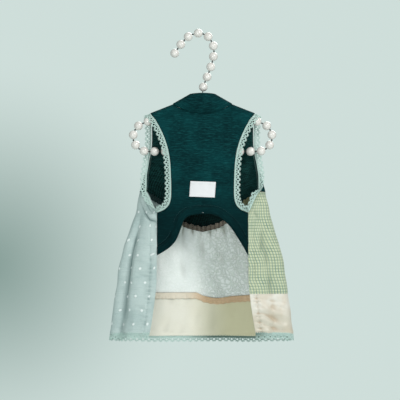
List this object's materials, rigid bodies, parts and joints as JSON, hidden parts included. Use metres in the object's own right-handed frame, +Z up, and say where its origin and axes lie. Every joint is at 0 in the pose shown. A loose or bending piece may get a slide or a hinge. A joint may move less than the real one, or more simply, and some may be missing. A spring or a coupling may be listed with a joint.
{
  "type": "dog dress on a bead hanger",
  "caption": "Sleeveless dog dress with a mock collar, arched belly panel, patchwork skirt and lace trims, hanging on a bead hanger with a hook.",
  "frame": {"origin": "the seat at the top of the hook's inside, where the hanger hangs on a rail", "axes": "+Z up, -Y the way the belly side faces, +X to the right as seen from the belly side"},
  "size_m": [0.2505, 0.0801, 0.4297],
  "materials": {
    "jersey": "matte slub jersey",
    "label": "woven, bare",
    "seam_edge": "matte gathered seam",
    "dotted_cotton": "matte cotton with small raised dots",
    "check_cotton": "matte cotton with a small check",
    "satin": "satin",
    "eyelet_cotton": "matte textured cotton",
    "cream_cotton": "matte cotton",
    "tan_seam": "matte seam allowance",
    "lace": "matte cotton lace",
    "pearl": "pearl gloss"
  },
  "bodies": {
    "root": {"collar": "jersey", "belly_panel": "jersey", "belly_band": "jersey", "back_panel": "jersey", "label": "label", "waist_ruffle": "seam_edge", "skirt_dotted": "dotted_cotton", "skirt_check": "check_cotton", "skirt_satin": "satin", "skirt_eyelet": "eyelet_cotton", "skirt_cream": "cream_cotton", "tier_tape": "tan_seam", "armhole_lace_left": "lace", "armhole_lace_right": "lace", "hem_lace": "lace", "hanger_loop": "pearl", "hanger_hook": "pearl"}
  },
  "joints": []
}
